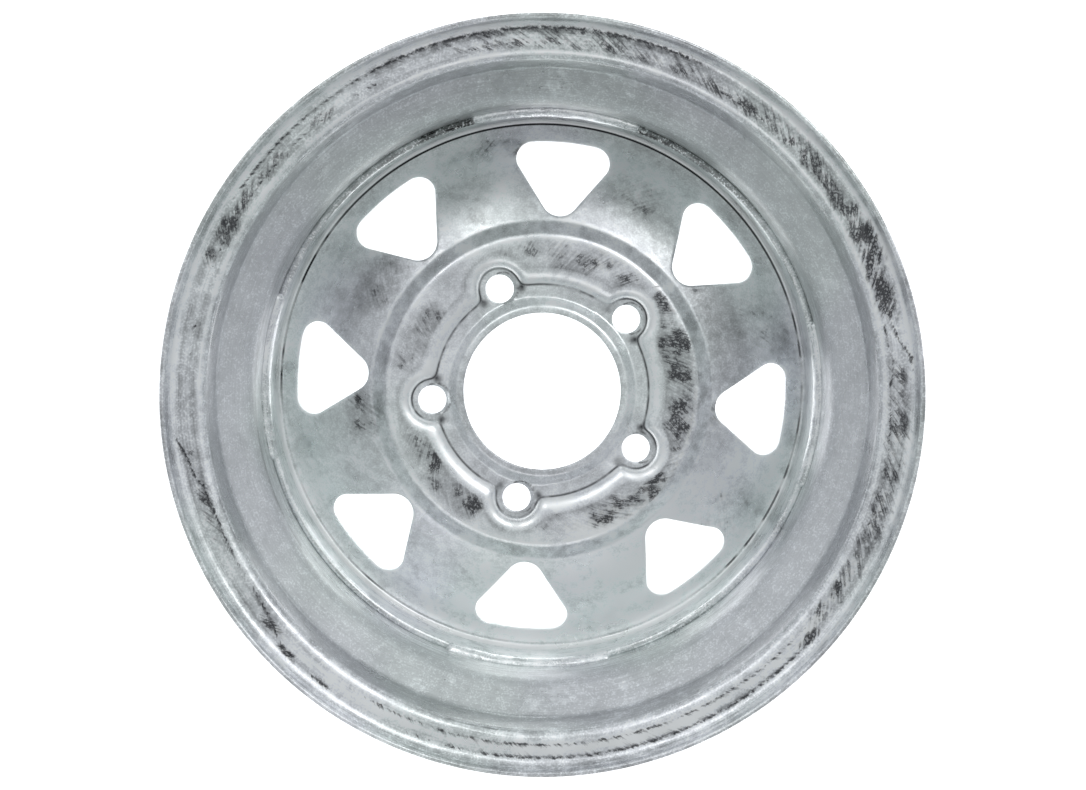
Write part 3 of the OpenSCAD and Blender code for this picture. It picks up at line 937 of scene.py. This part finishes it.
HUB_CROSS = [
    (14, 72, 12, 8, 0.82), (2, 72, 8, 8, 0.67), (-10, 73, 8, 7, 0.82), (-20, 71, 6, 7, 0.82),
    (35, 74, 5, 6, 0.82), (26, 73, 6, 6, 0.6), (76, 68.5, 9, 6, 0.73), (88, 74, 10, 4, 0.52),
    (64, 74, 8, 4, 0.56), (51, 71, 6, 5, 0.6), (100, 73, 8, 4, 0.47), (121, 68, 6, 6, 0.43),
    (148, 68, 7, 6, 0.76), (158, 66, 5, 5, 0.47), (166, 71, 6, 5, 0.47)
]
HUB_ASLANT = [
    (200, 71, 6, 5, 0.52), (210, 67.5, 8, 6, 0.72), (222, 70, 7, 6, 0.64), (234, 70, 8, 6, 0.8),
    (246, 72, 6, 4, 0.48), (278, 68, 9, 5, 0.48), (299, 70, 9, 6, 0.72), (311, 74, 8, 5, 0.72),
    (320, 75, 7, 5, 0.72), (333, 75, 6, 5, 0.6)
]
SPOKE_SMUDGE = [
    (145, 102, 7, 9, 0.56), (152, 98, 4, 6, 0.45), (189, 95, 5, 8, 0.68), (182, 93, 4, 5, 0.59),
    (-2, 100, 5, 7, 0.5), (18, 118, 6, 10, 0.36), (65, 112, 7, 8, 0.45), (-35, 118, 8, 9, 0.36),
    (12, 130, 4, 5, 0.54), (100, 128, 10, 5, 0.45), (36, 98, 4, 5, 0.5), (-8, 92, 4, 4, 0.54)
]
RIM_CHALK = [
    (95, 157, 22, 7, 0.9), (70, 160, 9, 6, 0.7), (130, 158, 10, 6, 0.5), (265, 157, 26, 9, 0.7),
    (300, 158, 14, 8, 0.6), (20, 155, 6, 5, 0.5), (355, 154, 8, 6, 0.5)
]
# Soft patches of painted light and shade, in the same form. They were set after the mean tones of
# rings of the photo and of the render had been compared, and so were the tone tables of the rim and of the
# disc's rings.
DISC_SHADES = [
    (20, 100, 24, 11, -0.38), (60, 100, 12, 11, -0.12), (150, 100, 16, 11, -0.27),
    (180, 100, 14, 11, -0.06), (300, 100, 34, 11, 0.28), (336, 100, 12, 11, 0.10),
    (98, 128, 34, 11, 0.18), (277, 128, 42, 11, 0.20), (0, 85, 18, 5, -0.15), (100, 85, 32, 5, 0.17),
    (228, 85, 26, 5, 0.10), (300, 85, 18, 5, 0.21), (75, 74, 28, 7, 0.10), (150, 74, 35, 7, -0.07),
    (285, 74, 40, 7, 0.17), (40, 52.5, 20, 4, 0.12), (125, 52.5, 15, 4, 0.08), (180, 52.5, 18, 4, 0.16),
    (270, 52.5, 15, 4, 0.14), (330, 52.5, 16, 4, 0.22), (60, 44.5, 28, 4, 0.12), (118, 44.5, 18, 4, 0.09),
    (230, 44.5, 60, 4, -0.08), (0, 44.5, 18, 4, -0.07)
]
RIM_SHADES = [
    (90, 191, 16, 4.5, 0.08), (180, 191, 16, 4.5, -0.17), (278, 191, 38, 4.5, 0.34),
    (330, 191, 14, 4.5, 0.08), (35, 201.2, 25, 2.4, 0.16), (105, 201.2, 34, 2.4, 0.28),
    (180, 201.2, 12, 2.4, -0.08), (252, 201.2, 24, 2.4, -0.22), (330, 201.2, 16, 2.4, 0.12)
]
# Round the wheel: tone of the flange's sheared edge, then the painted shade line and the painted highlight
# line in the groove
EDGE_TONE = {
    0: 0.42, 30: 0.34, 40: 0.15, 55: -0.08, 69: -0.28, 71: 0.4, 103: 0.4, 105: -0.30, 115: -0.22,
    118: 0.22, 140: 0.32, 180: 0.42, 270: 0.5, 360: 0.42
}
SEAM_SHADE = {
    0: 0.5, 1.5: 0.2, 6: 0.2, 7: 0.8, 10: 0.8, 11: 0.3, 13: 0.9, 16: 0.9, 17: 0.4, 21: 0.9, 25: 0.9,
    60: 1, 120: 1, 140: 0.9, 143: 0.6, 145: 1, 148: 0.5, 150: 1, 156: 1, 157: 0.5, 163: 0.4, 170: 0.4,
    172: 0.9, 175: 0.3, 177: 1, 180: 0.6, 185: 0.12, 225: 0.3, 228: 0.8, 233: 0.3, 300: 0.1, 315: 0.2,
    316: 0.8, 318.5: 0.8, 319.5: 0.1, 321.5: 0.1, 322: 0.9, 325: 0.8, 326: 0.2, 328.5: 0.2, 329: 0.8,
    336: 0.8, 337: 0.2, 339: 0.2, 339.5: 0.8, 342: 0.7, 343: 0.3, 349: 0.4, 350: 0.8, 353: 0.7, 355: 0.3,
    360: 0.5
}
SEAM_GLINT = {
    0: 0.15, 15: 0.3, 30: 0.8, 60: 1, 90: 0.9, 120: 1, 135: 0.7, 150: 0.5, 180: 0.4, 200: 0.7, 260: 0.9,
    290: 0.7, 320: 0.3, 360: 0.15
}


def well_shade(x, y):
    """The well is darker on its +Y side and a little lighter on its -Y side."""
    lift = y / np.maximum(np.hypot(x, y), 1)
    return 0.03 * np.clip(-lift, 0, 1) - 0.26 * np.clip(lift - 0.25, 0, 1)


# Tone of the rim from the well to the lip, by radius plus a share of the height, with painted highlights on
# the heel and the curl
RUN_SHARE = 0.35
RIM_TONE_LIGHT_AND_SHADE = {
    138: 0.30, 143: 0.30, 148: 0.25, 151.5: 0.26, 154.5: 0.30, 157: 0.36, 170: 0.36, 173: 0.32, 175: 0.15,
    181: 0.15, 183.4: 0.42, 185.4: 0.72, 186.6: 0.50, 187.8: 0.34, 189: 0.36, 190.5: 0.52, 192.2: 0.54,
    193.7: 0.40, 194.8: 0.28, 196.4: 0.44, 198.6: 0.70, 200.2: 0.56, 202: 0.40, 204: 0.36, 205: 0.25,
    206: 0.12
}
# A thin broken dark line under the slope, on the -X side
WELL_LINE = {
    0: 0, 163: 0, 164: 0.5, 170: 0.3, 173: 0.6, 180: 0.4, 181.5: 0.9, 184: 0.2, 187: 0.3, 188: 1,
    196: 0.7, 205: 0.9, 206: 0.2, 208: 0.7, 212: 0.4, 213: 0, 360: 0
}
# Streaks on the rim, by the same measure as its tone
RIM_STREAK = {
    138: 0.16, 148: 0.16, 153: 0.04, 172: 0.04, 180: 0.06, 185: 0.10, 200: 0.14, 206: 0.12
}
# Tone and streaks where the photo does not show the wheel
PLAIN_TONE = 0.15
PLAIN_STREAK = 0.05
PLAIN_DISC_TONE = 0.45
# Height above which the rim is flange
FLANGE_FOOT_Z = 50
# Tone of rings on the disc, with painted highlights on the lip's crease and the pad's edge: radius, half
# width, power of the soft band, tone
RING_TONES_AND_HIGHLIGHTS = [(LIP_CREASE_R, 0.35, 2, 0.20), (79.0, 0.9, 2, 0.18), (45.5, 2.2, 4, 0.10),
              (84.0, 2.9, 4, -0.09), (88.6, 0.8, 2, 0.12), (BORE_R, 0.6, 2, -0.24)]
# Corners of the stud ring's lobes, darkened with painted shade
CORNER_R = 54.4
CORNER_TURN = 11.2


def wear(piece, mat):
    piece.data.materials.clear()
    piece.data.materials.append(mat)


def rim_shade(x, y, z, r, angle, run):
    """Painted light and shade added to the rim's tone, and a thin broken dark line under the slope."""
    lift = y / r
    # painted shade in the well towards +Y, and soft painted light and shade round the flange and the lip
    shade = well_shade(x, y) * np.clip((24 - z) / 6, 0.15, 1) + shades(angle, run, RIM_SHADES)
    # painted shade on the slope towards +Y and -Y
    shade -= 0.11 * lift ** 2 * band(run, 166, 9, 6)
    # painted shade that dims the painted highlights on the heel and the curl towards -Y
    shade -= 0.32 * np.clip(-lift, 0, 1) * (band(run, 185.4, 1.3) + band(run, 198.8, 1.5))
    shade -= 0.4 * track(angle, WELL_LINE) * band(z, 17.5, 1.6)
    # painted highlight on the well wall just above the flange's edge
    return shade + 0.16 * band(z, FLANGE_EDGE_Z + 1.2, 0.8) * (r < WELL_R + 1)


def finish_rim(rim):
    x, y, z, r, angle = places(rim)
    # the tyre side and the outboard half are plain zinc
    face = vertex_values(rim, "normal")
    outward = (face[:, 0] * x + face[:, 1] * y) / r - np.sign(z) * face[:, 2]
    plain = ((outward > 0) & (r < 180)) | (z < HIDDEN_Z)
    top = (z > FLANGE_FOOT_Z) & ~plain
    paint(rim, "rub", patches(angle, r, FLANGE_RUB) * top)
    paint(rim, "slant", np.where((angle > 8) & (angle < 125), -8, 8), -8, 8)
    inner, outer = track(angle, INNER_LINE), track(angle, OUTER_LINE)
    left = np.where(r < (inner + outer) / 2, track(angle, INNER_LEFT), track(angle, OUTER_LEFT))
    paint(rim, "line_off", (r - inner) * (r - outer) / np.maximum(outer - inner, 2), -20, 20)
    paint(rim, "line_left", left * top)
    run = r + RUN_SHARE * z
    # the tone holds painted highlights on the bends and painted light and shade round the wheel
    tone = track(run, RIM_TONE_LIGHT_AND_SHADE) + rim_shade(x, y, z, r, angle, run)
    paint(rim, "tone", np.where(plain, PLAIN_TONE, tone))
    paint(rim, "dull", 0.24 * band(run, 153.5, 4))
    paint(rim, "streak", np.where(plain, PLAIN_STREAK, track(run, RIM_STREAK)))
    paint(rim, "mottle", np.where(run > 182, 0.14, 0.042))
    paint(rim, "chalk", 0.03 + 0.9 * patches(angle, r, RIM_CHALK) * (z > 20))
    look = {"Mottle": "mottle", "Streak": "streak", "Chalk": "chalk", "Scuff": 0.12, "Sparkle": 0.25,
            "Dull": "dull"}
    strokes, splits = ("slant", 62.0, 90.0), (-6.0, 95.0, 20.0)
    wear(rim, zinc_material("zinc_on_rim", (0.4, 6.0, 900.0), look, strokes, splits, bump=0.22))


def disc_crease_shade(x, y, r, out):
    """Painted shade in the foot of the stud ring's wall, in its corners and under the bevels."""
    wide, far = stud_bevel(x, y)
    under = band(far, wide, 0.38) * (wide > 0.5) * 0.9
    foot = band(out, -0.08, 0.46) * (r > 50) * (r < 72)
    for a in STUD_ANGLES:
        for side in (-CORNER_TURN, CORNER_TURN):
            cx, cy = polar(CORNER_R, a + side)
            foot = np.maximum(foot, 1.1 * np.exp(-((x - cx) ** 2 + (y - cy) ** 2) / 4.5) * (out < 0.5))
    return np.maximum(foot, under)


def disc_tone_and_light(x, y, r, angle, out, width):
    """Tone of the open face with painted light and shade: stud ring, rings, window edges, bevels and soft
    patches.
    """
    _, window = edge_gaps(x, y)
    wide, far = stud_bevel(x, y)
    tone = 0.47 - 0.04 * (out < 0)
    # painted highlight on the stud ring's wall and painted shade along its top edge
    tone += 0.22 * band(out, 0.45 * width, 0.30 * width) - 0.20 * band(out, 1.04 * width, 1.1)
    # painted highlight near the foot of the stud ring's wall
    tone += 0.30 * band(out, 0.9, 0.45) * (r < 72)
    for ring, half, power, strength in RING_TONES_AND_HIGHLIGHTS:
        tone += strength * band(r, ring, half, power)
    tone += 0.06 * np.clip((r - 92) / 20, 0, 1)
    # painted highlight along the window edges and painted shade on the stud holes' bevels
    tone += 0.16 * band(window, 0.7, 0.5) - 0.12 * (far < wide)
    # painted shade towards +Y and a little painted light towards -Y near the groove
    tone += well_shade(x, y) * np.clip((r - 128) / 9, 0, 1)
    return tone + shades(angle, r, DISC_SHADES)


def finish_disc(disc):
    x, y, z, r, angle = places(disc)
    # the inboard sheet holds the first half of the points
    top = np.arange(len(r)) < len(r) // 2
    out, width, _ = stud_ring(x, y)
    pad = np.clip((out - width * 0.75) / 2, 0, 1) * (r < PAD_R) * top
    cross = np.maximum(patches(angle, r, HUB_CROSS) * pad, patches(angle, r, SPOKE_SMUDGE) * top)
    aslant = patches(angle, r, HUB_ASLANT) * pad
    paint(disc, "rub", np.maximum(cross, aslant))
    paint(disc, "slant", np.where(aslant > cross, -16, 9), -16, 9)
    # painted shade in the foot of the stud ring's wall, its corners and under the bevels
    paint(disc, "painted_crease_shade", disc_crease_shade(x, y, r, out) * top)
    groove = (r > 134) & (z < -28) & top
    # painted shade in the groove and a painted highlight beside it
    paint(disc, "painted_seam_shade", groove * (r < 141.5) * track(angle, SEAM_SHADE))
    paint(disc, "painted_seam_glint", groove * (r < 143.5) * track(angle, SEAM_GLINT))
    # the open face's tone holds painted light and shade
    tone = np.where(top, disc_tone_and_light(x, y, r, angle, out, width), PLAIN_DISC_TONE)
    edge = (z > FLANGE_EDGE_Z - 1.0) & (r > 141)
    paint(disc, "tone", np.where(edge, track(angle, EDGE_TONE), tone), -0.4)
    paint(disc, "streak", 0.025 + 0.15 * (band(r, 85, 5, 4) + (r > 140)))
    paint(disc, "sparkle", 0.12 + 0.8 * ((r > 141) & (z > -11)))
    look = {"Mottle": 0.10, "Streak": "streak", "Chalk": 0.28, "Scuff": 0.32, "Sparkle": "sparkle"}
    strokes = ("slant", 44.0, 70.0)
    wear(disc, zinc_material("zinc_on_disc", (0.6, 9.0, 700.0), look, strokes, grooved=True))


def finish_beads(beads):
    x, y, *_ = places(beads)
    paint(beads, "tone", 0.50 + 0.3 * well_shade(x, y))
    look = {"Mottle": 0.12, "Streak": 0.20, "Chalk": 0.5, "Scuff": 0.3, "Sparkle": 0.9}
    wear(beads, zinc_material("zinc_on_welds", (0.0, 10.0, 900.0), look, bump=0.25))


# Floor, light and camera; a lamp is name, place, size and power, in metres and watts
FLOOR_HALF = 20000
FLOOR_GLOW = 0.85
LAMPS = [("key_box", (0.64, 0.76, 1.03), (0.8, 0.5), 3.4),
         ("side_box", (-0.50, 0.86, 1.03), (0.6, 0.4), 1.3),
         ("low_box", (-0.22, -0.97, 1.03), (1.3, 0.5), 1.5)]
SKY_GLOW = 0.53
SKY_LOW = 0.10
SKY_SIDE = 0.20
VIEW_TILT = math.radians(4.4)
VIEW_YAW = math.radians(0.35)
VIEW_FAR = 780
SENSOR_WIDTH = 36.0
PHOTO_WIDTH_PX = 1086
FOCAL_PX = 1646.4
RISE_PX = 6.8


def make_floor():
    corners = [(x * FLOOR_HALF, y * FLOOR_HALF, -LIP_Z) for x, y in ((-1, -1), (1, -1), (1, 1), (-1, 1))]
    floor = new_piece("pale_floor", corners, [(0, 1, 2, 3)])
    mat = bpy.data.materials.new("pale_floor")
    mat.use_nodes = True
    shader = mat.node_tree.nodes["Principled BSDF"]
    shader.inputs["Base Color"].default_value = (0.93, 0.93, 0.93, 1)
    shader.inputs["Roughness"].default_value = 0.7
    shader.inputs["Emission Color"].default_value = (1, 1, 1, 1)
    shader.inputs["Emission Strength"].default_value = FLOOR_GLOW
    wear(floor, mat)


def soft_light(name, at, size, power):
    """A soft box that faces the middle of the wheel."""
    data = bpy.data.lights.new(name, "AREA")
    data.shape = "RECTANGLE"
    data.size, data.size_y = size
    data.energy = power
    lamp = add_object(name, data)
    lamp.location = at
    lamp.rotation_euler = (-Vector(at)).to_track_quat("-Z", "Y").to_euler()


def make_light():
    world = bpy.data.worlds.new("studio")
    bpy.context.scene.world = world
    world.use_nodes = True
    n = Nodes(world.node_tree)
    way = n.add("SeparateXYZ", {0: n.add("TexCoord").outputs["Generated"]}).outputs
    low = n.math("SUBTRACT", 1.0, way[2], clamp=True)
    glow = n.plus(SKY_GLOW, n.times(low, SKY_LOW))
    glow = n.plus(glow, n.times(way[1], SKY_SIDE))
    back = world.node_tree.nodes["Background"]
    back.inputs[0].default_value = (0.94, 0.98, 1.0, 1)
    n.tree.links.new(glow, back.inputs[1])
    for name, at, size, power in LAMPS:
        soft_light(name, at, size, power)


def make_camera():
    back = Vector((-math.sin(VIEW_YAW) * math.cos(VIEW_TILT), math.sin(VIEW_TILT),
                   math.cos(VIEW_YAW) * math.cos(VIEW_TILT)))
    up = (Vector((0, 1, 0)) - back * back.y).normalized()
    right = up.cross(back)
    data = bpy.data.cameras.new("photo_view")
    data.sensor_fit = "HORIZONTAL"
    data.sensor_width = SENSOR_WIDTH
    data.lens = FOCAL_PX / PHOTO_WIDTH_PX * SENSOR_WIDTH
    data.shift_y = RISE_PX / PHOTO_WIDTH_PX
    data.clip_start = 0.01
    view = add_object("photo_view", data)
    spot = Vector((0, 0, LIP_Z * MM)) + back * VIEW_FAR * MM
    view.matrix_world = Matrix.Translation(spot) @ Matrix((right, up, back)).transposed().to_4x4()
    bpy.context.scene.camera = view


finish_rim(make_rim())
finish_disc(make_disc())
finish_beads(make_beads())
make_floor()
make_light()
make_camera()
bpy.context.scene.view_settings.view_transform = "Standard"
